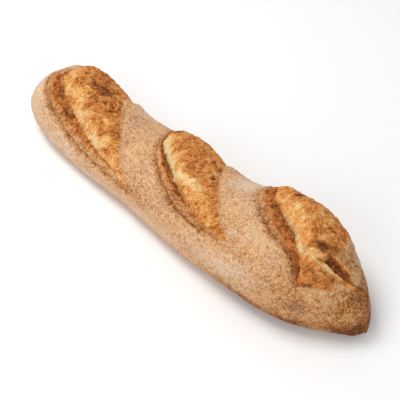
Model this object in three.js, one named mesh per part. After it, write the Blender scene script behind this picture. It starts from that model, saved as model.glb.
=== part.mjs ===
// Rustic baguette: one baked loaf, rounded at its far end (-X) and drawn out to a wedge at its near end (+X).
// Three diagonal scores cross the top and have torn open in the oven. Each has a lifted ear along its front,
// a crease behind the ear and a swollen bloom of crumb beyond the crease.
// Millimetres, +Z up. The loaf lies along X on z = 0, with the origin under the middle of its bounding box.
import * as THREE from 'three';

const { clamp, smoothstep } = THREE.MathUtils;

// ---------------------------------------------------------------- driving sizes of the body

const LENGTH = 346;
// Sizes at six evenly spaced stations, from the far end to the near end, before the ends close.
const HALF_WIDTHS = [34, 37.4, 37.2, 39, 42, 35];
const HEIGHTS = [54, 37.5, 44.5, 54, 61, 47];
const SIDE_DRIFT = [0.5, -2.5, -1, -1, 8, 13.5];

// How an end closes: over what length, and the power and root of its width's and its height's closing curve.
// lift is the share of the core line's height that is kept at the very end.
const FAR_END = { length: 49, width: [3.2, 0.25], height: [2, 0.35], lift: 0.75 };
const NEAR_END = { length: 75, width: [2.5, 1.05], height: [2.5, 0.42], lift: 0.28 };
// The near end's nose keeps a share of its width, and rounds over in this length at its very tip.
const NOSE_BLUNTNESS = 0.14;
const NOSE_ROUNDING = 8;

const WIDEST_HEIGHT = 0.42;     // height of the widest line as a share of the section's height
const UPPER_SQUARENESS = 2.15;  // superellipse power of a section above its widest line
const LOWER_SQUARENESS = 2.8;   // and below it
const SINK = 1.1;               // the lower half reaches this far past the ground, where it is cut flat

// ---------------------------------------------------------------- driving sizes of the scores

// A score is laid out on the unrolled skin: along X, and around the core line by angle x GIRTH_RADIUS.
const GIRTH_RADIUS = 34;
// Its three lines are given by their distances from the straight line start-end, at six even steps along it,
// positive towards the near end: the ear's outer line, the crease at the bottom of the cut, and the edge where
// the bloom meets the skin again. A fullness under 1 keeps the bloom high towards its edge. The wall runs from
// the crease to the shoulder of the bloom, and the ear and the crease deepen over cutRunIn from the start.
const SCORES = [
  {
    start: [-150, 45], end: [-21, -47],
    ear: [-27, -56, -52, -37, -18, 0], crease: [-18, -40, -37, -27, -12, 0], edge: [0, 26, 17, 5, 0.5, 0],
    valley: 0.7, earRise: 1.8, creaseDepth: 0.8, bloomRise: 10, fullness: 0.8, wall: 22,
    runIn: 24, runOut: 45, cutRunIn: 35,
  },
  {
    start: [-50, 50], end: [74, -32],
    ear: [0, -27, -36, -32.5, -20, 0], crease: [0, -22.5, -27.2, -25, -17.2, 0], edge: [0, 31, 22, 9, 3, 0],
    valley: 1.3, earRise: 1.8, creaseDepth: 2.2, bloomRise: 10.5, fullness: 1, wall: 14,
    runIn: 40, runOut: 40, cutRunIn: 70,
  },
  {
    start: [55, 45], end: [133, -36],
    ear: [0, -17.5, -16, -10, 2.2, 0], crease: [0, -7.8, -3.8, 2.5, 5.8, 0], edge: [0, 19, 41, 51, 52, 0],
    valley: 2.4, earRise: 1.2, creaseDepth: 2.6, bloomRise: 10.6, fullness: 1, wall: 12,
    runIn: 45, runOut: 18, cutRunIn: 70,
  },
];
const CREST_PLACE = 0.35;       // the ear's crest, as a share of the way from its outer line to the crease
const VALLEY_WIDTH = 3;         // width of the fold in the skin in front of the ear, valley deep
const LEAST_BLOOM = 1;          // width that a bloom keeps where its crease and edge meet
const THIN_BODY = 17;           // the relief dies away where the body's radius is less than this

// A second tear splits the last bloom across and runs down the back of the near end. It sags by bow from the
// straight line between its ends. It gapes by gape, most at gapeAt along it, and is shallower past it.
const TEAR = {
  start: [127, -9], end: [162, 24], bow: -8, depth: 6, fade: 12,
  gape: 7.4, gapeAt: 12.5, gapeLength: 5.5,
};

// The skin stands up at the back of the loaf, behind the scores, and sinks where the first score begins.
const HUMPS = [
  { at: [-94, 38], reach: [8, 8], rise: 3.5 },
  { at: [-43, 30], reach: [8, 8], rise: 3 },
  { at: [17, 32], reach: [8, 8], rise: 2 },
  { at: [66, 27], reach: [10, 10], rise: 6 },
  { at: [130, 24], reach: [8, 8], rise: 2 },
  { at: [-157, 16], reach: [9, 12], rise: -2.8 },
];

// ---------------------------------------------------------------- grid of the solid

const RINGS = 110;
const SPOKES = 40;
const END_CROWDING = 0.6;       // how far the rings crowd towards the ends
const TOP_CROWDING = 0.35;      // how far the spokes crowd towards the top
const RING_LEAN = 1.3;          // slant of the rings, so that they run along the scores

// Smooth curve through evenly spaced values, with share running from 0 to 1.
function through(values, share) {
  const last = values.length - 1;
  const place = clamp(share, 0, 1) * last;
  const i = Math.min(Math.floor(place), last - 1);
  const t = place - i;
  const slope = (k) => {
    const before = Math.max(k - 1, 0);
    const after = Math.min(k + 1, last);
    return (values[after] - values[before]) / (after - before);
  };
  const rise = t * t * (3 - 2 * t);
  const bend = t * (1 - t) * ((1 - t) * slope(i) - t * slope(i + 1));
  return values[i] + rise * (values[i + 1] - values[i]) + bend;
}

// Share of the full size that is left where an end closes: 1 inside the loaf, 0 at the very end.
function closing(fromEnd, length, [power, root]) {
  const gone = clamp(1 - fromEnd / length, 0, 1);
  return (1 - gone ** power) ** root;
}

// Half width, heights and core line of the plain body at one place along X.
function sectionAt(x) {
  const share = x / LENGTH + 0.5;
  const fromFar = share * LENGTH;
  const fromNear = LENGTH - fromFar;
  const tip = closing(fromNear, NOSE_ROUNDING, [3, 0.5]);
  const nearWidth = closing(fromNear, NEAR_END.length, NEAR_END.width);
  const width = closing(fromFar, FAR_END.length, FAR_END.width)
    * (NOSE_BLUNTNESS + (1 - NOSE_BLUNTNESS) * nearWidth) * tip;
  const height = closing(fromFar, FAR_END.length, FAR_END.height)
    * closing(fromNear, NEAR_END.length, NEAR_END.height);
  const lift = share < 0.5 ? FAR_END.lift : NEAR_END.lift;
  const fullHeight = through(HEIGHTS, share);
  return {
    halfWidth: through(HALF_WIDTHS, share) * width,
    above: (1 - WIDEST_HEIGHT) * fullHeight * height * tip,
    below: WIDEST_HEIGHT * fullHeight * height * tip * SINK,
    coreY: through(SIDE_DRIFT, share),
    coreZ: WIDEST_HEIGHT * fullHeight * (lift + (1 - lift) * height),
  };
}

// Distance from the core line to the plain body's skin. Angle 0 is straight up, positive towards +Y.
function bodyRadius(section, angle) {
  const up = Math.cos(angle) >= 0;
  const reach = up ? section.above : section.below;
  const power = up ? UPPER_SQUARENESS : LOWER_SQUARENESS;
  const sideways = Math.abs(Math.sin(angle)) / section.halfWidth;
  const upright = Math.abs(Math.cos(angle)) / reach;
  return (sideways ** power + upright ** power) ** (-1 / power);
}

// Where a point of the unrolled skin lies along and across the straight line of a cut.
function alongAndAcross(cut, x, girth) {
  const line = new THREE.Vector2(cut.end[0] - cut.start[0], cut.end[1] - cut.start[1]);
  const point = new THREE.Vector2(x - cut.start[0], girth - cut.start[1]);
  const length = line.length();
  line.normalize();
  return { along: point.dot(line), across: line.cross(point), length };
}

// Height of one score's relief above the plain body.
function scoreRelief(score, x, girth) {
  const { along, across, length } = alongAndAcross(score, x, girth);
  const share = along / length;
  const ear = through(score.ear, share);
  const crease = through(score.crease, share);
  const edge = through(score.edge, share);
  const swelling = smoothstep(along, 0, score.runIn) * smoothstep(length - along, 0, score.runOut);
  const opening = swelling * smoothstep(along, 0, score.cutRunIn);
  if (across < ear) {
    return -score.valley * opening * Math.exp(-(((across - ear) / VALLEY_WIDTH) ** 2));
  }
  if (across < crease) {
    const lip = (across - ear) / (crease - ear);
    const climb = smoothstep(lip, 0, CREST_PLACE) * (score.earRise + score.valley);
    const drop = smoothstep(lip, CREST_PLACE, 1) * (score.earRise + score.creaseDepth);
    return opening * (climb - drop - score.valley);
  }
  const swell = clamp((across - crease) / Math.max(edge - crease, LEAST_BLOOM), 0, 1);
  const wall = Math.sin(clamp((across - crease) / score.wall, 0, 1) * Math.PI / 2) ** 1.2;
  const dome = score.bloomRise * Math.cos(swell * Math.PI / 2) ** score.fullness;
  return swelling * wall * dome - opening * (1 - wall) * score.creaseDepth;
}

// Depth of the second tear.
function tearRelief(x, girth) {
  const { along, across, length } = alongAndAcross(TEAR, x, girth);
  const opening = smoothstep(along, 1, TEAR.fade) * smoothstep(length - along, 0, TEAR.fade);
  const fromCrack = across - TEAR.bow * Math.sin(clamp(along / length, 0, 1) * Math.PI);
  const upper = 1 + TEAR.gape * Math.exp(-(((along - TEAR.gapeAt) / TEAR.gapeLength) ** 2));
  const hollow = smoothstep(fromCrack, -5, 0) * (1 - smoothstep(fromCrack, upper - 2, upper + 2));
  const shallower = 1 - 0.65 * smoothstep(along, 18, 30);
  return -TEAR.depth * shallower * opening * hollow;
}

// Height of the humps of skin.
function humpRelief(x, girth) {
  return HUMPS.reduce((sum, { at, reach, rise }) => {
    const away = Math.hypot((x - at[0]) / reach[0], (girth - at[1]) / reach[1]);
    return sum + rise * Math.exp(-(away ** 2));
  }, 0);
}

// Point of the finished skin at one place along X and one angle around the core line.
function skinPoint(x, angle) {
  const section = sectionAt(x);
  if (section.halfWidth === 0) return new THREE.Vector3(x, section.coreY, section.coreZ);
  const girth = angle * GIRTH_RADIUS;
  const plain = tearRelief(x, girth) + humpRelief(x, girth);
  const relief = SCORES.reduce((sum, score) => sum + scoreRelief(score, x, girth), plain);
  const body = bodyRadius(section, angle);
  const radius = body + relief * smoothstep(body, 0, THIN_BODY);
  const z = section.coreZ + radius * Math.cos(angle);
  return new THREE.Vector3(x, section.coreY + radius * Math.sin(angle), Math.max(z, 0));
}

// Closed skin of the whole loaf, drawn out from a sphere's rings and spokes.
function loafGeometry() {
  const geometry = new THREE.SphereGeometry(1, SPOKES, RINGS);
  const { position, uv } = geometry.attributes;
  for (let i = 0; i < position.count; i += 1) {
    const ring = 1 - uv.getY(i);
    const share = THREE.MathUtils.lerp(ring, (1 - Math.cos(ring * Math.PI)) / 2, END_CROWDING);
    const turn = (2 * uv.getX(i) - 1) * Math.PI;
    const angle = turn - TOP_CROWDING * Math.sin(turn);
    const lean = RING_LEAN * GIRTH_RADIUS * Math.sin(angle) * (1 - (2 * share - 1) ** 2);
    const point = skinPoint((share - 0.5) * LENGTH - lean, angle);
    position.setXYZ(i, point.x, point.y, point.z);
  }
  geometry.computeBoundingBox();
  const height = geometry.boundingBox.max.z;
  geometry.center();
  geometry.translate(0, 0, height / 2);
  geometry.computeVertexNormals();
  return geometry;
}

// Browned, lightly floured crust.
const crust = new THREE.MeshStandardMaterial({ color: 0xc8955c, roughness: 0.8, metalness: 0 });

const loaf = new THREE.Mesh(loafGeometry(), crust);
loaf.name = 'loaf';

const baguette = new THREE.Group();
baguette.add(loaf);

export default baguette;
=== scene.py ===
# Rustic baguette: one hand-shaped loaf, scored three times, dusted with flour and baked on a stone.
import itertools
import math

import bmesh
import bpy
import numpy as np
from mathutils import Matrix, Vector


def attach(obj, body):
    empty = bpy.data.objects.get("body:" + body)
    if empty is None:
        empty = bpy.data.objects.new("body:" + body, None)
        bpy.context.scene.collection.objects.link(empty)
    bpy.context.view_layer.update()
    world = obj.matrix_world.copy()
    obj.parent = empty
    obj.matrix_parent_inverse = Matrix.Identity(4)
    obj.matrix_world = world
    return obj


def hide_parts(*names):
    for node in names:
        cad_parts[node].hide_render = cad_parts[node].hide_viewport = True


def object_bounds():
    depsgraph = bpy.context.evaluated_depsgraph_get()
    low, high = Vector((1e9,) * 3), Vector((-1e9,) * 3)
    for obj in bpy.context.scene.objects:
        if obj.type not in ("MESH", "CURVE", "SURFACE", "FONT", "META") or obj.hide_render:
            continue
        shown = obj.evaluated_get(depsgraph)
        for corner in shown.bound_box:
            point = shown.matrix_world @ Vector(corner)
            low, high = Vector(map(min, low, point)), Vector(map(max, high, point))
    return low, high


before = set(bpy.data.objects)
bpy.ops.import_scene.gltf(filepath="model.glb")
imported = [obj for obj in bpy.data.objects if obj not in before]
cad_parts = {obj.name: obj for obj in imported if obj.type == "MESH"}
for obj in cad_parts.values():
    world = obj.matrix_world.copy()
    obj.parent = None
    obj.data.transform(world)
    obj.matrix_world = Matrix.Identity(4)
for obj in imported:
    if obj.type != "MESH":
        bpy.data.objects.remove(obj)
packed_low, packed_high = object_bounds()


# ---------------------------------------------------------------- dough body
# A stick of dough, rolled and proofed by hand, with a blunt far end and a drawn-out near end. It is kept
# in millimetres, as cross-sections round a core line, and every section is squarer below than above.

LENGTH = 346
HALF_WIDTHS = [34, 37.4, 37.2, 39, 42, 35]
HEIGHTS = [54, 37.5, 44.5, 54, 61, 47]
SIDE_DRIFT = [0.5, -2.5, -1, -1, 8, 13.5]
FAR_END = {"length": 49, "width": (3.2, 0.25), "height": (2, 0.35), "lift": 0.75}
NEAR_END = {"length": 75, "width": (2.5, 1.05), "height": (2.5, 0.42), "lift": 0.28}
NOSE_ROUNDING = 8
NOSE_CURVE = (3, 0.5)
NOSE_BLUNTNESS = 0.14
WIDEST_HEIGHT = 0.42
UPPER_SQUARENESS = 2.15
LOWER_SQUARENESS = 2.8
SINK = 1.1
GIRTH_RADIUS = 34
THIN_BODY = 17
BASE_ROUNDING = 0.9
LEAST_SIZE = 1e-6


def ease(value, low, high):
    """Runs smoothly from 0 at low to 1 at high."""
    share = np.clip((value - low) / (high - low), 0, 1)
    return share * share * (3 - 2 * share)


def through(values, share):
    """Smooth curve through evenly spaced values, with share running from 0 to 1."""
    values = np.asarray(values, float)
    last = len(values) - 1
    place = np.clip(share, 0, 1) * last
    step = np.minimum(np.floor(place).astype(int), last - 1)
    part = place - step
    slope = np.gradient(values)
    rise = part * part * (3 - 2 * part)
    bend = part * (1 - part) * ((1 - part) * slope[step] - part * slope[step + 1])
    return values[step] + rise * (values[step + 1] - values[step]) + bend


def closing(from_end, length, curve):
    """Share of the full size that is left where an end closes."""
    power, root = curve
    gone = np.clip(1 - from_end / length, 0, 1)
    return (1 - gone ** power) ** root


def body_point(x, angle, relief):
    """Point of the loaf at a place along X and an angle round the core line, 0 being straight up."""
    share = x / LENGTH + 0.5
    from_far = share * LENGTH
    from_near = LENGTH - from_far
    width = closing(from_far, FAR_END["length"], FAR_END["width"])
    near_width = closing(from_near, NEAR_END["length"], NEAR_END["width"])
    nose = closing(from_near, NOSE_ROUNDING, NOSE_CURVE)
    width *= (NOSE_BLUNTNESS + (1 - NOSE_BLUNTNESS) * near_width) * nose
    height = closing(from_far, FAR_END["length"], FAR_END["height"])
    height *= closing(from_near, NEAR_END["length"], NEAR_END["height"])
    lift = np.where(share < 0.5, FAR_END["lift"], NEAR_END["lift"])
    full_height = through(HEIGHTS, share)
    core_y = through(SIDE_DRIFT, share)
    core_z = WIDEST_HEIGHT * full_height * (lift + (1 - lift) * height)
    height *= nose
    half_width = np.maximum(through(HALF_WIDTHS, share) * width, LEAST_SIZE)
    above = np.maximum((1 - WIDEST_HEIGHT) * full_height * height, LEAST_SIZE)
    below = np.maximum(WIDEST_HEIGHT * full_height * height * SINK, LEAST_SIZE)
    up = np.cos(angle) >= 0
    reach = np.where(up, above, below)
    power = np.where(up, UPPER_SQUARENESS, LOWER_SQUARENESS)
    sideways = np.abs(np.sin(angle)) / half_width
    upright = np.abs(np.cos(angle)) / reach
    radius = (sideways ** power + upright ** power) ** (-1 / power)
    radius = radius + relief * ease(radius, 0, THIN_BODY)
    y = core_y + radius * np.sin(angle)
    z = core_z + radius * np.cos(angle)
    z = (z + np.sqrt(z * z + BASE_ROUNDING ** 2)) / 2
    return np.column_stack((x, y, z))


# The stick is drawn out from a ball of dough whose poles are the two ends. Its rings lean, so that they
# run along the scores, and its rings and spokes crowd towards the ends and the top, where the detail is.

RINGS = 450
SPOKES = 216
END_CROWDING = 0.35
TOP_CROWDING = 0.5
RING_LEAN = 1.3

loaf_mesh = bmesh.new()
bmesh.ops.create_uvsphere(loaf_mesh, u_segments=SPOKES, v_segments=RINGS, radius=1)
bmesh.ops.rotate(loaf_mesh, verts=loaf_mesh.verts, matrix=Matrix.Rotation(math.pi / 2, 3, "Y"))
ball = np.array([vert.co[:] for vert in loaf_mesh.verts])
ring = np.arccos(np.clip(-ball[:, 0], -1, 1)) / math.pi
turn = np.arctan2(ball[:, 1], ball[:, 2])
share = ring + END_CROWDING * ((1 - np.cos(ring * math.pi)) / 2 - ring)
angle = turn - TOP_CROWDING * np.sin(turn)
lean = RING_LEAN * GIRTH_RADIUS * np.sin(angle) * (1 - (2 * share - 1) ** 2)
x = (share - 0.5) * LENGTH - lean
girth = angle * GIRTH_RADIUS
plain = body_point(x, angle, 0 * x)
relief = 0 * x


# ---------------------------------------------------------------- skin
# The dough's outer skin, dried and stretched over the loaf in the oven. It is uneven and blistered, and
# stands up in humps behind the scores. It browned the most along its rim at the base of the near half and
# at the tip, and flour was dusted over it before baking.

LATTICE = np.array((73856093, 19349663, 83492791))
SEED_STEP = 50331653
DRAW_FACTORS = (2246822519, 3266489917, 668265263)
LOW_BITS = 0xFFFFFFFF
FULL_SWING = 1.8
LEAST_DOME = 0.15
MOST_DOME = 0.5


def scattered(knots, seed):
    """Three steady random numbers from 0 to 1 for every knot of a unit lattice."""
    number = (knots @ LATTICE + SEED_STEP * seed) & LOW_BITS
    draws = []
    for factor in DRAW_FACTORS:
        number = ((number ^ (number >> 15)) * factor) & LOW_BITS
        draws.append((number ^ (number >> 13)) / 2 ** 32)
    return np.stack(draws, axis=-1)


def uneven(spots, size, seed):
    """Smooth unevenness from about -1 to 1, with lumps of one size or of a size along each axis."""
    spots = np.asarray(spots) / size
    cells = np.floor(spots).astype(np.int64)
    inside = spots - cells
    blend = inside ** 3 * (inside * (inside * 6 - 15) + 10)
    total = 0
    for corner in itertools.product((0, 1), repeat=3):
        slope = 2 * scattered(cells + corner, seed) - 1
        pull = (slope * (inside - corner)).sum(axis=-1)
        total = total + pull * np.where(corner, blend, 1 - blend).prod(axis=-1)
    return FULL_SWING * total


def domes(spots, size, seed):
    """Low round domes up to 1 high, one somewhere in every cell of a size."""
    spots = np.asarray(spots) / size
    cells = np.floor(spots).astype(np.int64)
    highest = 0
    for corner in itertools.product((-1, 0, 1), repeat=3):
        knots = cells + corner
        draws = scattered(knots, seed)
        reach = LEAST_DOME + (MOST_DOME - LEAST_DOME) * draws[..., 0]
        distance = np.linalg.norm(knots + draws - spots, axis=-1)
        highest = np.maximum(highest, 1 - (distance / reach) ** 2)
    return highest


def patch(x, girth, mark):
    """Soft patch on the unrolled skin. A mark holds x, girth, a reach along each, and a strength."""
    return mark[4] * np.exp(-((x - mark[0]) / mark[2]) ** 2 - ((girth - mark[1]) / mark[3]) ** 2)


HUMPS = [
    (-94, 38, 8, 8, 3.5), (-43, 30, 8, 8, 3), (17, 32, 8, 8, 2), (66, 27, 10, 10, 6),
    (130, 24, 8, 8, 2), (-157, 16, 9, 12, -2.8),
]
# Browner marks on the skin. Those at (29, -31) and (49, -35) are painted shade along the second ear's
# fold, and the one at (142, 12) is painted shade beside the gash, where flour is also taken off at (142,
# 10).
SKIN_BROWNING_AND_SHADE = [
    (-38, 10, 7, 12, 0.12), (-78, 24, 10, 8, 0.10), (-60, -10, 8, 8, 0.06), (8, -34, 30, 4, 0.06),
    (128, -42, 18, 8, 0.08), (85, -30, 14, 5, 0.05), (-120, -46, 20, 5, 0.06), (40, 3, 8, 6, 0.08),
    (-22, -43, 16, 5, 0.14), (76, -35, 14, 4, 0.08), (-40, -37, 7, 3, 0.14), (29, -31, 4, 1, 0.25),
    (49, -35, 2, 1, 0.25), (-80, 27, 4, 4, 0.14), (-48, -37, 7, 1.5, 0.18), (150, -14, 6, 8, 0.08),
    (144, 7, 6, 6, 0.12), (142, 12, 4, 5, 0.06), (150, 26, 6, 5, 0.09), (142, -42, 16, 10, 0.14),
    (118, -34, 12, 8, 0.05),
]
FLOURED_SKIN = [
    (-160, -24, 22, 45, 0.50), (-100, -42, 22, 8, 0.30), (-75, 40, 24, 9, 0.45), (-45, -12, 14, 9, 0.12),
    (45, 22, 13, 13, 0.70), (52, 32, 8, 7, 0.35), (62, -3, 14, 8, 0.18), (98, -20, 12, 6, 0.22),
    (0, -56, 45, 6, 0.45), (126, -30, 26, 14, -0.18), (78, -46, 26, 7, 0.52), (137, 33, 9, 8, 0.60),
    (144, 21, 3, 3, 0.25), (142, 10, 5, 5, -0.40), (149, 26, 5, 5, -0.35), (40, -36, 10, 4, 0.12),
    (-125, -52, 30, 7, 0.36), (-75, -56, 40, 5, 0.45), (142, -32, 12, 8, -0.22),
    (125, -52, 22, 10, -0.25), (-20, -42, 16, 5, -0.15), (-58, -22, 10, 3, 0.20), (84, -18, 10, 5, 0.20),
]
SKIN_TOAST = 0.48
SKIN_FLOUR = 0.19

# Two values in brackets are where a change begins and where it is complete.
RIM_HEIGHT = (12, 24)
RIM_START = (45, 90)
TIP_START = (148, 162)
UNDER_TIP_START = (156, 168)
UNDER_TIP_HEIGHT = (14, 30)

swells = uneven(plain, size=17, seed=1)
dimples = uneven(plain, size=5.5, seed=2)
grain = uneven(plain, size=2.1, seed=3)
blisters = domes(plain, size=7, seed=4)
folds = uneven(plain, size=(38, 7, 7), seed=9)
skin_relief = 0.40 * swells + 0.30 * folds + 0.26 * dimples + 0.18 * grain + 0.35 * blisters
for hump in HUMPS:
    relief += patch(x, girth, hump)

# Brown and floured patches have wandering outlines, not round ones.
wander = np.column_stack((uneven(plain, size=6, seed=5), uneven(plain, size=6, seed=6))) * 1.8
wander += np.column_stack((uneven(plain, size=2.2, seed=7), uneven(plain, size=2.2, seed=8))) * 0.8
strayed_x = x + wander[:, 0]
strayed_girth = girth + wander[:, 1]

skin_toast = SKIN_TOAST + 0.14 * swells + 0.18 * dimples + 0.07 * grain + 0.06 * folds
for mark in SKIN_BROWNING_AND_SHADE:
    skin_toast += patch(strayed_x, strayed_girth, mark)
low_rim = (1 - ease(plain[:, 2] + 2.5 * dimples, *RIM_HEIGHT)) * ease(x, *RIM_START)
tip = ease(x + 3 * swells, *TIP_START)
low_down = 1 - ease(plain[:, 2] + 2 * dimples, *UNDER_TIP_HEIGHT)
under_tip = ease(x + 2 * dimples, *UNDER_TIP_START) * low_down
skin_toast += 0.32 * low_rim + 0.20 * tip - 0.04 * under_tip

flour = SKIN_FLOUR + 0.18 * swells + 0.22 * dimples
for mark in FLOURED_SKIN:
    flour += patch(strayed_x, strayed_girth, mark)
flour = flour * (1 - 0.8 * low_rim) - 0.35 * low_rim - 1.2 * under_tip - 0.7 * tip


# ---------------------------------------------------------------- scores
# Three slanting cuts made with a blade just before baking. In the oven each one tore open: a lifted ear
# runs along its front, then come the ear's browned inside, a crease, torn crumb and a swollen bloom.
# The lists run from a cut's back end to its front end, with distances across the cut in millimetres.

SCORES = [
    {
        "start": (-150, 45), "end": (-21, -47),
        "ear": [-27, -56, -52, -37, -18, 0], "crease": [-18, -40, -37, -27, -12, 0],
        "edge": [26, 17, 5, 0.5], "torn": [19, 12, 3.5, -2.5, 0], "smooth": [7, 8, 3.5, 2.5, 0],
        "wall": 22, "ear_rise": 1.8, "crease_depth": 0.8, "bloom_rise": 10, "fullness": 0.8,
        "run_in": 24, "run_out": 45, "cut_run_in": 35, "split": 0.3, "valley": 0.7,
        "rind": [0.38, 0.42, 0.60, 0.80], "strand_slant": 0.45,
        "crumb": [10, 13, 8, 5], "crumb_toast": 0.32,
        "ear_toast": 0.76, "lip_toast": 0.57, "bloom_toast": 0.60,
        "toasted": [
            (-117, 15, 9, 7, 0.36), (-111, 19, 4, 3, 0.16), (-125, 25, 6, 6, 0.16),
            (-92, 2, 2.5, 4, 0.22), (-94, -25, 7, 2.5, 0.20), (-117, -7, 8, 6, -0.13),
            (-104, -17, 9, 4, -0.16), (-72, -25, 7, 4, -0.22), (-83, -9, 3.2, 2.6, -0.60),
            (-84, -28, 5, 2, -0.30), (-124, 3, 1.0, 4, 0.40), (-106, -9, 1.0, 5, 0.36),
            (-113, -3, 0.9, 3, 0.24), (-50, -34, 8, 3, 0.10), (-136, 8, 4, 9, 0.06),
            (-96, 33, 6, 6, -0.08), (-128, -15, 9, 2.5, 0.30), (-142, -10, 3, 4, 0.26),
            (-147, 2, 3, 5, 0.16), (-133, -20, 4, 3, 0.22), (-118, -26, 8, 2.5, 0.20),
            (-100, 8, 5, 4, 0.08), (-90, 14, 4, 5, 0.08), (-110, -3, 3, 3, -0.15),
            (-80, -31, 6, 5, -0.16), (-40, -37, 7, 3, 0.16),
        ],
    },
    {
        "start": (-50, 50), "end": (74, -32),
        "ear": [0, -27, -36, -32.5, -20, 0], "crease": [0, -22.5, -27.2, -25.0, -17.2, 0],
        "edge": [31, 22, 9, 3], "torn": [29, 20, 8, 0.5, 0], "smooth": [3, 5, 5, 2.5, 0],
        "wall": 14, "ear_rise": 1.8, "crease_depth": 2.2, "bloom_rise": 10.5, "fullness": 1.0,
        "run_in": 40, "run_out": 40, "cut_run_in": 70, "split": 1.0, "valley": 1.3,
        "rind": [0.45, 0.42, 0.62, 0.96], "strand_slant": 0.1,
        "crumb": [3, 4, 0, 0], "crumb_toast": 0.02,
        "ear_toast": 0.80, "lip_toast": 0.42, "bloom_toast": 0.545,
        "toasted": [
            (11, 19, 3, 2.2, 0.42), (19, 17, 2.2, 2, 0.40), (25, 5, 1.8, 1.8, 0.34),
            (-1, 8, 6, 5, 0.10), (-24, 14, 5, 3, 0.12), (4, -10, 6, 2.2, -0.40),
            (15, -10.5, 12, 3, -0.42), (31, -12.5, 7, 2.8, -0.34), (52, -22, 12, 6, 0.12),
            (62, -27, 6, 4, 0.12), (53, -29, 9, 3.5, 0.15), (45, -14, 6, 4, 0.10),
            (-40, 26, 8, 5, 0.45), (-5, -12, 5, 2.5, -0.15), (33, -12, 3, 2, 0.16),
            (40, -22, 2.5, 2, 0.18), (18, 11, 6, 4, -0.12), (54, -16, 2, 2, 0.22),
        ],
    },
    {
        "start": (55, 45), "end": (133, -36),
        "ear": [0, -17.5, -16, -10, 2.2, 0], "crease": [0, -7.8, -3.8, 2.5, 5.8, 0],
        "edge": [19, 41, 51, 52], "torn": [20, 41, 40, 30, 26], "smooth": [3, 5, 4, 0, 0],
        "wall": 12, "ear_rise": 1.2, "crease_depth": 2.6, "bloom_rise": 10.6, "fullness": 1.0,
        "run_in": 45, "run_out": 18, "cut_run_in": 70, "split": 1.3, "valley": 2.4,
        "rind": [0.34, 0.27, 0.22, 0.14], "strand_slant": 0,
        "crumb": [1.6, 2.8, 4.0, 2.0], "crumb_toast": 0.36,
        "ear_toast": 0.77, "lip_toast": 0.62, "bloom_toast": 0.54,
        "toasted": [
            (86, 19, 4, 3, 0.50), (142, 4, 6, 4, 0.25), (127, -7.5, 6, 2.2, -0.20),
            (118, 14, 8, 5, 0.10), (128, -0.5, 5, 3, 0.30), (117, -9, 9, 3.5, -0.32),
            (128, -8, 5, 2.5, -0.25), (135, -20, 12, 8, 0.18), (98, 8, 9, 4, -0.08),
            (103, 10, 2, 2, 0.22), (97, -3, 7, 4, 0.12), (80, 9, 5, 3, 0.12),
            (110, -2, 8, 3, -0.16), (78, 14, 1.6, 1.2, 0.40), (129, -28, 6, 3, 0.24),
            (141, -25, 6, 3, 0.20), (125, 16, 5, 6, 0.08), (146, -16, 3, 5, 0.12),
        ],
    },
]

# Two values in brackets are again where a change begins and where it is complete, but for the fibres they
# are the width and the length.
CUT_OPENS = (1, 15)
CUT_CLOSES = (3, 5.5)

FOLD_RUN_OUT = 14
VALLEY_WIDTH = 3
NOTCH_DEPTH = 0.6
NOTCH_WIDTH = 1.1
# The fold's notch gets a thin line of painted shade, and painted shade darkens the fold around it.
FOLD_NOTCH_SHADE = 0.28
FOLD_NOTCH_SHADE_WIDTH = 1.5
FOLD_SHADE_WIDTH = 2.8

FULL_EAR = 6
LEAST_EAR = 0.5
CREST_PLACE = 0.35
CREST_WIDTH = 0.3
LEAN_OUT = 1.2
ROUGH_EAR = (0.2, 0.5)
STREAK_HEIGHT = 0.40
PIT_HEIGHT = 0.50
RIND_AT_ENDS = 0.99
EAR_FIBRES = (1.4, 7)

LEAST_BLOOM = 1
WALL_ROUNDNESS = 1.2
CURL = 1.6
STRING_HEIGHT = 1.1
STRINGS_END = (6, 20)
FLAKE_HEIGHT = 1.2
FLAKES_START = (3, 12)
BUBBLE_HEIGHT = 0.9
BUBBLE_LEVEL = 0.35
SMOOTH_RIM = (0.5, 5)
GULLY_DEPTH = 0.9
GULLY_WIDTH = 2.2
LEAST_CRUMB = 0.3
BACK_FRAYING = 3.5
FRAYED_BACK = (0.05, 0.35)
BLOOM_FIBRES = (1.5, 6.5)
FIBRE_GAP = 10
SPLIT_WIDTH = 0.9
WHOLE_FRONT = (0.22, 0.5)


def along_across(cut, x, girth):
    """Where points of the unrolled skin lie along and across the straight line of a cut."""
    run_x = cut["end"][0] - cut["start"][0]
    run_girth = cut["end"][1] - cut["start"][1]
    length = math.hypot(run_x, run_girth)
    from_x = (x - cut["start"][0]) / length
    from_girth = (girth - cut["start"][1]) / length
    along = run_x * from_x + run_girth * from_girth
    across = run_x * from_girth - run_girth * from_x
    return along, across, length


def bell(distance, width):
    """Smooth bump that is 1 at no distance and almost gone at twice its width."""
    return np.exp(-((distance / width) ** 2))


def crumpled(spots, size, seed):
    """Wavy ridges between rounded hollows, in three sizes, from about -1 to 1."""
    ridges = 0
    for strength, part in ((0.55, 1), (0.30, 2.1), (0.15, 4.3)):
        wave = uneven(spots, size=np.asarray(size) / part, seed=seed + int(part))
        ridges = ridges + strength * (1 - 2.4 * np.abs(wave))
    return ridges


toast = skin_toast
bloomed = 0 * x
crack_shade = 0 * x
stretched = 0 * x
slide_x = 0 * x
slide_girth = 0 * x
fibre = 0 * plain

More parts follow.
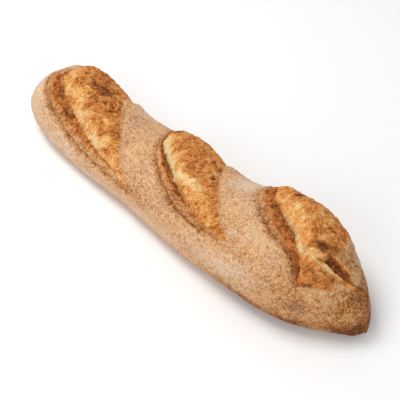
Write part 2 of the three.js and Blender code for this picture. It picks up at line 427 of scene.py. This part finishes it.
for number, score in enumerate(SCORES):
    # The ear, the crease and the bloom's edge are frayed lines, and the cut opens and closes on its way.
    seed = 20 * (number + 1)
    along, across, length = along_across(score, x, girth)
    place = along / length
    sheet = np.column_stack((along, across, 0 * along))
    frays = uneven(sheet, size=(9, 12, 1), seed=seed)
    nicks = uneven(sheet, size=(3, 5, 1), seed=seed + 1)
    ear = through(score["ear"], place) + 0.5 * frays + 0.3 * nicks
    crease = through(score["crease"], place)
    ear_share = np.clip((crease - ear) / FULL_EAR, 0.1, 1)
    crease = crease + ear_share * (1.3 * frays + 0.9 * nicks)
    edge = through([0, *score["edge"], 0], place) + 0.9 * frays + 0.5 * nicks
    torn_end = through([0, *score["torn"]], place) + 1.2 * frays + 0.8 * nicks
    swelling = ease(along, 0, score["run_in"]) * ease(length - along, 0, score["run_out"])
    opening = swelling * ease(along, 0, score["cut_run_in"])
    folding = ease(along, 0, score["cut_run_in"]) * ease(length - along, 0, FOLD_RUN_OUT)
    open_start = ease(along + 3 * frays + 2 * nicks, *CUT_OPENS)
    open_end = ease(length - along + 1.5 * frays, *CUT_CLOSES)
    cut_open = open_start * open_end

    # The skin folds down in front of the ear.
    fold = -score["valley"] * bell(across - ear, VALLEY_WIDTH)
    fold -= NOTCH_DEPTH * np.exp(-np.abs(across - ear) / NOTCH_WIDTH)

    # The ear climbs to its crest and drops to the crease, and its inside is torn along the cut.
    lip = (across - ear) / np.maximum(crease - ear, LEAST_EAR)
    climb = ease(lip, 0, CREST_PLACE) * (score["ear_rise"] + score["valley"])
    drop = ease(lip, CREST_PLACE, 1) * (score["ear_rise"] + score["crease_depth"])
    streaks = uneven(sheet, size=(8, 1.7, 1), seed=seed + 2)
    pits = uneven(plain, size=2.6, seed=seed + 3)
    rough_ear = STREAK_HEIGHT * streaks + PIT_HEIGHT * pits
    inside_ear = climb - drop - score["valley"] + ease(lip, *ROUGH_EAR) * rough_ear

    # The bloom stands up from the crease as a rough, stringy wall and rounds over to its edge, where the
    # skin begins again over a smooth, narrow gully.
    behind = across - crease
    swell = np.clip(behind / np.maximum(edge - crease, LEAST_BLOOM), 0, 1)
    wall = np.sin(np.clip(behind / score["wall"], 0, 1) * math.pi / 2) ** WALL_ROUNDNESS
    dome = score["bloom_rise"] * np.cos(swell * math.pi / 2) ** score["fullness"]
    curl = sheet + CURL * np.column_stack((frays, nicks, 0 * nicks))
    combed = curl + np.column_stack((score["strand_slant"] * across, 0 * across, 0 * across))
    strands = crumpled(combed, size=(2.8, 9, 1), seed=seed + 4)
    flakes = crumpled(curl, size=(5, 6.5, 1), seed=seed + 9)
    bubbles = domes(plain + 0.5 * wander[:, :1], size=4.2, seed=seed + 16) - BUBBLE_LEVEL
    stringy = 1 - ease(behind, *STRINGS_END)
    flaky = ease(edge - across, *SMOOTH_RIM) * ease(behind, *FLAKES_START)
    flaky = flaky * (FLAKE_HEIGHT * flakes + BUBBLE_HEIGHT * bubbles)
    rough_bloom = STRING_HEIGHT * strands * stringy + flaky
    bloom = wall * dome + rough_bloom * ease(behind, 0, 2)
    gully = GULLY_DEPTH * bell(across - edge, GULLY_WIDTH)
    bloom_part = swelling * (bloom - gully) - opening * (1 - wall) * score["crease_depth"]
    skin_part = folding * np.where(across < ear, fold, 0) - swelling * gully * (across >= edge)

    in_ear = (across >= ear) & (across < crease)
    in_bloom = (across >= crease) & (across < edge)
    relief += np.where(in_ear, opening * inside_ear, np.where(in_bloom, bloom_part, skin_part))

    # The crease is split open in places, but not near the cut's front end, and painted shade darkens the
    # splits.
    split = bell(behind - 0.2, SPLIT_WIDTH) * ease(frays + nicks, -1, 0.6)
    split = split * ease(1 - place, *WHOLE_FRONT)
    relief -= score["split"] * opening * split
    crack_shade = np.maximum(crack_shade, opening * split * min(score["split"], 1))

    # The ear's crest leans out over the fold.
    lean_out = LEAN_OUT * opening * bell(lip - CREST_PLACE, CREST_WIDTH)
    slide_x += lean_out * (score["end"][1] - score["start"][1]) / length
    slide_girth -= lean_out * (score["end"][0] - score["start"][0]) / length

    # How far each part has browned: the inside of the ear first, then the bloom, and the crumb last.
    crumb_width = through([0, *score["crumb"], 0], place) * (1 + 0.7 * frays)
    crumb_width = np.maximum(crumb_width, LEAST_CRUMB)
    browning = ease(behind + 1.6 * nicks + 0.8 * strands, 0.5 * crumb_width, 2.0 * crumb_width + 2)
    browning = 1 - (1 - browning) * ease(crumb_width, 0, 1.5)
    bloom_toast = score["crumb_toast"] + (score["bloom_toast"] - score["crumb_toast"]) * browning
    clouds = uneven(plain, size=11, seed=seed + 14)
    blots = uneven(plain, size=4.5, seed=seed + 17)
    bloom_toast += 0.14 * clouds + 0.15 * blots
    bloom_toast -= 0.17 * flakes * browning + 0.12 * strands * stringy + 0.16 * bubbles * browning
    rind = through([RIND_AT_ENDS, *score["rind"], RIND_AT_ENDS], place)
    inside = ease(lip, rind, 0.5 + 0.5 * rind)
    ear_toast = score["lip_toast"] + (score["ear_toast"] - score["lip_toast"]) * inside
    tints = uneven(plain, size=6, seed=seed + 15)
    ear_toast += 0.08 * pits + 0.14 * streaks + 0.12 * tints
    for mark in score["toasted"]:
        marked = patch(strayed_x, strayed_girth, mark)
        bloom_toast += marked
        ear_toast += 0.6 * marked

    # Torn crumb shows from the ear's rind to the bloom's torn end, which frays out at the loaf's back.
    fraying = 1 + BACK_FRAYING * (1 - ease(place, *FRAYED_BACK))
    in_torn = (across >= crease) & (across < torn_end + fraying)
    torn_toast = np.where(in_ear, ear_toast, bloom_toast)
    torn_ear = ease(lip + 0.10 * nicks + 0.06 * pits, rind - 0.10, rind + 0.14)
    torn_bloom = in_torn * ease(torn_end - across + 0.8 * fraying * strands, -fraying, 1.5 * fraying)
    torn = cut_open * np.where(in_ear, torn_ear, torn_bloom)
    toast = toast + torn * (torn_toast - toast)
    bloomed = np.maximum(bloomed, torn)

    # The crumb's strings run along the inside of the ear and across the bloom.
    ear_fibre = np.column_stack((
        across / EAR_FIBRES[0],
        along / EAR_FIBRES[1],
        0 * along + FIBRE_GAP * number,
    ))
    bloom_fibre = np.column_stack((
        combed[:, 0] / BLOOM_FIBRES[0],
        combed[:, 1] / BLOOM_FIBRES[1],
        0 * along + FIBRE_GAP * (number + 0.5),
    ))
    fibre = np.where(in_ear[:, None], ear_fibre, np.where(in_torn[:, None], bloom_fibre, fibre))

    # Behind the torn end a strip of skin was pulled smooth. The fold in front of the ear is darkened with
    # painted shade, with a thin darker line of painted shade along its notch, and is bare of flour.
    smooth_width = through([0, *score["smooth"]], place)
    past_torn = across - torn_end
    pulled = ease(past_torn, -0.3, 0.5) * (1 - ease(past_torn, smooth_width, smooth_width + 2))
    stretched = np.maximum(stretched, swelling * cut_open * pulled * ease(smooth_width, 0.5, 2))
    crack_shade = np.maximum(crack_shade, FOLD_NOTCH_SHADE * folding * bell(across - ear, FOLD_NOTCH_SHADE_WIDTH))
    fold_shade = folding * cut_open * bell(across - ear + 1, FOLD_SHADE_WIDTH) * (across < ear)
    toast = toast + (0.05 + 0.08 * score["valley"]) * fold_shade
    flour = flour * (1 - fold_shade) * (1 - in_ear * cut_open) - 0.3 * fold_shade
    toast = toast + 0.10 * in_ear * cut_open * (1 - torn)


# ---------------------------------------------------------------- second tear
# The last bloom burst a second time, across the first tear and down the back of the near end. The gash
# has a golden lip, a shallow shelf of pale crumb and a wall at its back that hangs over, dark with
# painted shade, and it narrows to a crack. A small rent runs beside it under the bloom.

GASH = {
    "start": (127, -9), "end": (162, 24), "bow": -8, "stray": 0.5,
    "depth": 6, "run_in": 7, "run_out": 12,
    "widest": 7.4, "widest_at": 12.5, "widest_reach": 5.5, "crack": 0.6,
    "tail": 4.0, "tail_opens": (14, 20), "tail_closes": (23, 31),
    "narrows": (18, 30), "narrowest": 0.20,
}
SHELF_DEPTH = 0.3
SHELF_FRONT = (-6, -3.5)
WALL_FOOT = (-0.8, 1.0)
OVERHANG = 2.4
WALL_RIM_HEIGHT = 0.8
CRUMB_TOAST = 0.08
LIP_TOAST = 0.46
# The wall's toast paints the shade under the overhang.
WALL_SHADE_TOAST = 0.90
RENT = {
    "start": (117, -9.5), "end": (137, 4), "bow": -0.5, "stray": 0.4,
    "depth": 0.4, "run_in": 6, "run_out": 6,
}
RENT_CRUMB_TOAST = 0.27


def bowed(cut):
    """Where the skin lies along and across a cut that bows and strays, and how far the cut is open."""
    along, across, length = along_across(cut, x, girth)
    bow = cut["bow"] * np.sin(np.clip(along / length, 0, 1) * math.pi)
    opened = ease(along, 0, cut["run_in"]) * ease(length - along, 0, cut["run_out"])
    return along, across - bow + cut["stray"] * wander[:, 1], length, opened


# The gash is widest near its start and runs on as a narrow tail, with a shelf in front of its wall.
along, across, length, gash = bowed(GASH)
narrowed = 1 - (1 - GASH["narrowest"]) * ease(along, *GASH["narrows"])
widest = GASH["widest"] * bell(along - GASH["widest_at"], GASH["widest_reach"])
tail = GASH["tail"] * ease(along, *GASH["tail_opens"]) * (1 - ease(along, *GASH["tail_closes"]))
mouth = GASH["crack"] + widest + tail
hollow = SHELF_DEPTH * ease(across, *SHELF_FRONT) + (1 - SHELF_DEPTH) * ease(across, *WALL_FOOT)
hollow *= 1 - ease(across, mouth - 1.2, mouth + 1.0)
relief -= GASH["depth"] * narrowed * gash * hollow
relief += WALL_RIM_HEIGHT * gash * narrowed * bell(across - mouth - 1.6, 1.2)
overhang = OVERHANG * gash * narrowed * ease(across, mouth - 3, mouth)
overhang *= 1 - ease(across, mouth + 1, mouth + 6)
slide_x += overhang * (GASH["end"][1] - GASH["start"][1]) / length
slide_girth -= overhang * (GASH["end"][0] - GASH["start"][0]) / length

# It is torn open through the crust, with a golden lip, a wall dark with painted shade and the shelf's
# pale crumb. Painted shade also darkens the crack at the wall's foot.
lip_edge = 0.4 * (along - 14) - 10
lip = ease(across, lip_edge, lip_edge + 1.5) * (1 - ease(across, -0.8, 0.2))
lip *= ease(along, 13, 20) * ease(length - along, 2, 8)
torn_open = gash * ease(across, -4.5, -3.5) * (1 - ease(across, mouth + 1.5, mouth + 2.5))
torn_open *= 1 - ease(along, 26, 31) * ease(across, 0.2, 1.0)
bloomed = np.maximum(bloomed, np.maximum(lip, torn_open))
toast = toast + lip * (LIP_TOAST + 0.10 * dimples - toast)
wall_shade = gash * ease(across, -0.3, 0.9) * (1 - ease(across, mouth, mouth + 0.9))
wall_shade = wall_shade * (1 - 0.8 * ease(along, 25, 31))
toast = toast + wall_shade * (WALL_SHADE_TOAST + 0.10 * dimples - toast)
on_shelf = gash * bell(across + 2.2, 2.0) * (1 - ease(along, 11, 18))
toast = toast + on_shelf * (CRUMB_TOAST - toast)
wall_rim = gash * bell(across - mouth - 1.0, 0.7) * (1 - ease(along, 22, 28))
toast = toast - 0.25 * wall_rim
crack_shade = np.maximum(crack_shade, gash * bell(across - 0.5, 0.8))

# The rent is a shallow crack with a browned side and a paler one, and painted shade darkens the crack in
# places.
along, across, length, rent = bowed(RENT)
relief -= RENT["depth"] * rent * bell(across, 1.1)
crack_shade = np.maximum(crack_shade, 0.8 * rent * bell(across, 0.8) * ease(nicks + frays, -1.2, 0))
toast = toast + rent * 0.30 * bell(across - 2.4, 1.8)
toast = toast + rent * (RENT_CRUMB_TOAST - toast) * bell(across + 3.2, 1.9) * (1 - ease(along, 14, 22))


# ---------------------------------------------------------------- loaf mesh
# The finished loaf. Skin is uneven where it isn't torn, and smoother where it was stretched. The loaf is
# set down in metres, flat on the table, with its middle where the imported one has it.

MM_PER_METRE = 1000
STRETCHED_TOAST = 0.36
STRETCHED_COVER = 0.8

skin = 1 - bloomed
relief += skin * (1 - 0.7 * stretched) * skin_relief
toast = toast + skin * stretched * (STRETCHED_TOAST - toast) * STRETCHED_COVER
flour = flour * skin * (1 - 0.8 * stretched)

finished = body_point(x + slide_x, (girth + slide_girth) / GIRTH_RADIUS, relief)
packed_middle = (packed_low.y + packed_high.y) / 2 * MM_PER_METRE
finished[:, 1] += packed_middle - (finished[:, 1].min() + finished[:, 1].max()) / 2
for vert, spot in zip(loaf_mesh.verts, finished):
    vert.co = Vector(spot) / MM_PER_METRE
bmesh.ops.recalc_face_normals(loaf_mesh, faces=loaf_mesh.faces)
loaf_data = bpy.data.meshes.new("baguette_loaf")
loaf_mesh.to_mesh(loaf_data)
loaf_mesh.free()
loaf_data.polygons.foreach_set("use_smooth", [True] * len(loaf_data.polygons))
for name, values in (("toast", toast), ("skin", skin), ("flour", flour), ("crack_shade", crack_shade)):
    loaf_data.attributes.new(name, "FLOAT", "POINT").data.foreach_set("value", values)
loaf_data.attributes.new("fibre", "FLOAT_VECTOR", "POINT").data.foreach_set("vector", fibre.ravel())


# ---------------------------------------------------------------- baked crust
# The crust is matt. Its colour runs from cream crumb over gold to dark brown, the more it toasted in the
# oven, and a dusting of flour lies on the skin but not on torn crumb.

TORN_COLOURS = [
    (0.04, (0.79, 0.58, 0.29)),
    (0.23, (0.75, 0.43, 0.155)),
    (0.42, (0.70, 0.29, 0.076)),
    (0.60, (0.55, 0.19, 0.042)),
    (0.80, (0.34, 0.105, 0.024)),
    (1.00, (0.14, 0.044, 0.013)),
]
SKIN_COLOURS = [
    (0.10, (0.72, 0.47, 0.25)),
    (0.40, (0.62, 0.335, 0.145)),
    (0.65, (0.44, 0.180, 0.053)),
    (0.85, (0.27, 0.090, 0.023)),
    (1.00, (0.13, 0.042, 0.013)),
]
FLOUR_COLOUR = (0.78, 0.60, 0.45)
# Cracks and the folds' notches are mixed towards this colour as painted shade.
CRACK_SHADE_COLOUR = (0.12, 0.05, 0.015)
CRUST_ROUGHNESS = 0.75
CRUST_SHINE = 0.12
BLISTER_WARP = 0.002
WARP_SCALE = 0.4
FLOUR_STRENGTH = 0.84
FLOUR_GRAIN = 2.6
MOST_FLOUR = 0.78
CRACK_SHADE_STRENGTH = 0.8
GRAIN_HEIGHT = 0.001
GRAIN_STRENGTH = 0.75

crust = bpy.data.materials.new("baked_crust")
crust.use_nodes = True
nodes = crust.node_tree.nodes
links = crust.node_tree.links
shader = nodes["Principled BSDF"]
shader.inputs["Roughness"].default_value = CRUST_ROUGHNESS
shader.inputs["Specular IOR Level"].default_value = CRUST_SHINE
coordinates = nodes.new("ShaderNodeTexCoord")


def painted(name):
    """Value of a vertex attribute."""
    attribute = nodes.new("ShaderNodeAttribute")
    attribute.attribute_name = name
    return attribute.outputs["Fac"]


def calculated(operation, *values):
    """Result of one math step on sockets or numbers."""
    step = nodes.new("ShaderNodeMath")
    step.operation = operation
    for socket, value in zip(step.inputs, values):
        if isinstance(value, (int, float)):
            socket.default_value = value
        else:
            links.new(value, socket)
    return step.outputs[0]


def speckled(size, detail, roughness, distortion=0):
    """Noise over the loaf, with lumps of a size in millimetres, centred on 0."""
    texture = nodes.new("ShaderNodeTexNoise")
    texture.inputs["Scale"].default_value = MM_PER_METRE / size
    texture.inputs["Detail"].default_value = detail
    texture.inputs["Roughness"].default_value = roughness
    texture.inputs["Distortion"].default_value = distortion
    links.new(coordinates.outputs["Object"], texture.inputs["Vector"])
    return calculated("SUBTRACT", texture.outputs["Fac"], 0.5)


def shaded(value, stops):
    """Colour ramp over a value, with stops of place and colour."""
    ramp = nodes.new("ShaderNodeValToRGB")
    elements = ramp.color_ramp.elements
    while len(elements) < len(stops):
        elements.new(0.5)
    for element, (place, shade) in zip(elements, stops):
        element.position = place
        element.color = (*shade, 1)
    links.new(value, ramp.inputs["Fac"])
    return ramp.outputs["Color"]


def mixed(share, first, second):
    """Blend of two colours."""
    mix = nodes.new("ShaderNodeMix")
    mix.data_type = "RGBA"
    for socket, value in zip((mix.inputs[0], mix.inputs[6], mix.inputs[7]), (share, first, second)):
        if isinstance(value, tuple):
            socket.default_value = (*value, 1)
        else:
            links.new(value, socket)
    return mix.outputs[2]


def blistered(size):
    """Distance over the loaf from the middles of blisters of a size in millimetres, centred on 0."""
    warp = nodes.new("ShaderNodeTexNoise")
    warp.inputs["Scale"].default_value = WARP_SCALE * MM_PER_METRE / size
    links.new(coordinates.outputs["Object"], warp.inputs["Vector"])
    pull = nodes.new("ShaderNodeVectorMath")
    pull.operation = "MULTIPLY_ADD"
    pull.inputs[1].default_value = (BLISTER_WARP, BLISTER_WARP, BLISTER_WARP)
    links.new(warp.outputs["Color"], pull.inputs[0])
    links.new(coordinates.outputs["Object"], pull.inputs[2])
    texture = nodes.new("ShaderNodeTexVoronoi")
    texture.inputs["Scale"].default_value = MM_PER_METRE / size
    links.new(pull.outputs["Vector"], texture.inputs["Vector"])
    return calculated("SUBTRACT", texture.outputs["Distance"], 0.5)


on_skin = painted("skin")


def by_part(torn, skin):
    """One value on torn crumb and another on skin."""
    return calculated("MULTIPLY_ADD", on_skin, skin - torn, torn)


def stained(value, pattern, strength):
    """Value that a pattern of a strength is added to."""
    return calculated("MULTIPLY_ADD", pattern, strength, value)


mottle = speckled(size=3.6, detail=3, roughness=0.6, distortion=0.8)
speckle = speckled(size=1.2, detail=2, roughness=0.75)
cells = blistered(size=2.6)

# The crumb's strings are noise that is drawn out along the fibres.
fibre_texture = nodes.new("ShaderNodeTexNoise")
fibre_texture.inputs["Scale"].default_value = 1
fibre_texture.inputs["Detail"].default_value = 2
fibre_texture.inputs["Distortion"].default_value = 0.4
fibre_place = nodes.new("ShaderNodeAttribute")
fibre_place.attribute_name = "fibre"
links.new(fibre_place.outputs["Vector"], fibre_texture.inputs["Vector"])
fibres = calculated("SUBTRACT", fibre_texture.outputs["Fac"], 0.5)
fibres = calculated("MULTIPLY", fibres, by_part(torn=1, skin=0))

baked = stained(painted("toast"), mottle, strength=by_part(torn=0.75, skin=0.40))
baked = stained(baked, fibres, strength=0.65)
baked = stained(baked, cells, strength=0.32)
baked = stained(baked, speckle, strength=by_part(torn=0.9, skin=1.7))
colour = mixed(on_skin, shaded(baked, TORN_COLOURS), shaded(baked, SKIN_COLOURS))

dust = speckled(size=2.2, detail=4, roughness=0.8)
dusting = calculated("MULTIPLY", painted("flour"), FLOUR_STRENGTH)
dusting = stained(dusting, dust, strength=FLOUR_GRAIN)
dusting = calculated("MINIMUM", calculated("MAXIMUM", dusting, 0), MOST_FLOUR)
dusting = calculated("MULTIPLY", dusting, on_skin)
colour = mixed(dusting, colour, FLOUR_COLOUR)
# Painted shade darkens the cracks and the folds' notches.
colour = mixed(calculated("MULTIPLY", painted("crack_shade"), CRACK_SHADE_STRENGTH), colour, CRACK_SHADE_COLOUR)
links.new(colour, shader.inputs["Base Color"])

bump = nodes.new("ShaderNodeBump")
bump.inputs["Distance"].default_value = GRAIN_HEIGHT
bump.inputs["Strength"].default_value = GRAIN_STRENGTH
height = stained(speckle, mottle, strength=1.5)
height = stained(height, fibres, strength=-1.5)
height = stained(height, cells, strength=-0.5)
links.new(height, bump.inputs["Height"])
links.new(bump.outputs["Normal"], shader.inputs["Normal"])

loaf_data.materials.append(crust)
loaf_piece = bpy.data.objects.new("baguette_loaf", loaf_data)
bpy.context.scene.collection.objects.link(loaf_piece)
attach(loaf_piece, "root")
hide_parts("loaf")


# ---------------------------------------------------------------- floor and light
# A matt white table top under a pale sky. One large soft lamp hangs overhead towards the far end, and a
# weaker one stands in front.

FLOOR_SIZE = 6
FLOOR_COLOUR = (0.90, 0.90, 0.90, 1)
FLOOR_ROUGHNESS = 0.9
SKY_COLOUR = (1, 1, 1, 1)
SKY_BRIGHTNESS = 0.6
LIT_POINT = (0, 0, 0.03)

floor_mesh = bmesh.new()
bmesh.ops.create_grid(floor_mesh, x_segments=1, y_segments=1, size=FLOOR_SIZE / 2)
floor_data = bpy.data.meshes.new("table_top")
floor_mesh.to_mesh(floor_data)
floor_mesh.free()
floor_paint = bpy.data.materials.new("matt_white")
floor_paint.use_nodes = True
floor_shader = floor_paint.node_tree.nodes["Principled BSDF"]
floor_shader.inputs["Base Color"].default_value = FLOOR_COLOUR
floor_shader.inputs["Roughness"].default_value = FLOOR_ROUGHNESS
floor_data.materials.append(floor_paint)
floor = bpy.data.objects.new("table_top", floor_data)
bpy.context.scene.collection.objects.link(floor)

sky = bpy.data.worlds.new("pale_sky")
sky.use_nodes = True
sky_light = sky.node_tree.nodes["Background"]
sky_light.inputs["Color"].default_value = SKY_COLOUR
sky_light.inputs["Strength"].default_value = SKY_BRIGHTNESS
bpy.context.scene.world = sky


def soft_lamp(name, place, size, power):
    """Square area lamp that faces the loaf."""
    lamp_data = bpy.data.lights.new(name, "AREA")
    lamp_data.size = size
    lamp_data.energy = power
    lamp = bpy.data.objects.new(name, lamp_data)
    lamp.location = place
    lamp.rotation_mode = "QUATERNION"
    lamp.rotation_quaternion = (Vector(LIT_POINT) - Vector(place)).to_track_quat("-Z", "Y")
    bpy.context.scene.collection.objects.link(lamp)


soft_lamp("overhead_lamp", place=(-0.35, -0.15, 0.95), size=0.45, power=5.6)
soft_lamp("front_lamp", place=(0.3, -0.95, 0.6), size=0.8, power=3.5)


# ---------------------------------------------------------------- camera
# A long lens, three quarters of a metre away, up beyond the near end and in front of the loaf. It looks
# down along the scores.

CAMERA_AZIMUTH = math.radians(47.6)
CAMERA_ELEVATION = math.radians(48)
CAMERA_DISTANCE = 0.749
CAMERA_TARGET = Vector((0.0152, -0.0055, 0.026))
CAMERA_LENS = 88.8
CAMERA_SENSOR = 36

camera_data = bpy.data.cameras.new("camera")
camera_data.lens = CAMERA_LENS
camera_data.sensor_width = CAMERA_SENSOR
camera = bpy.data.objects.new("camera", camera_data)
away = Vector((
    math.sin(CAMERA_AZIMUTH) * math.cos(CAMERA_ELEVATION),
    -math.cos(CAMERA_AZIMUTH) * math.cos(CAMERA_ELEVATION),
    math.sin(CAMERA_ELEVATION),
))
camera.location = CAMERA_TARGET + away * CAMERA_DISTANCE
camera.rotation_mode = "QUATERNION"
camera.rotation_quaternion = (-away).to_track_quat("-Z", "Y")
bpy.context.scene.collection.objects.link(camera)
bpy.context.scene.camera = camera
bpy.context.scene.view_settings.view_transform = "Standard"
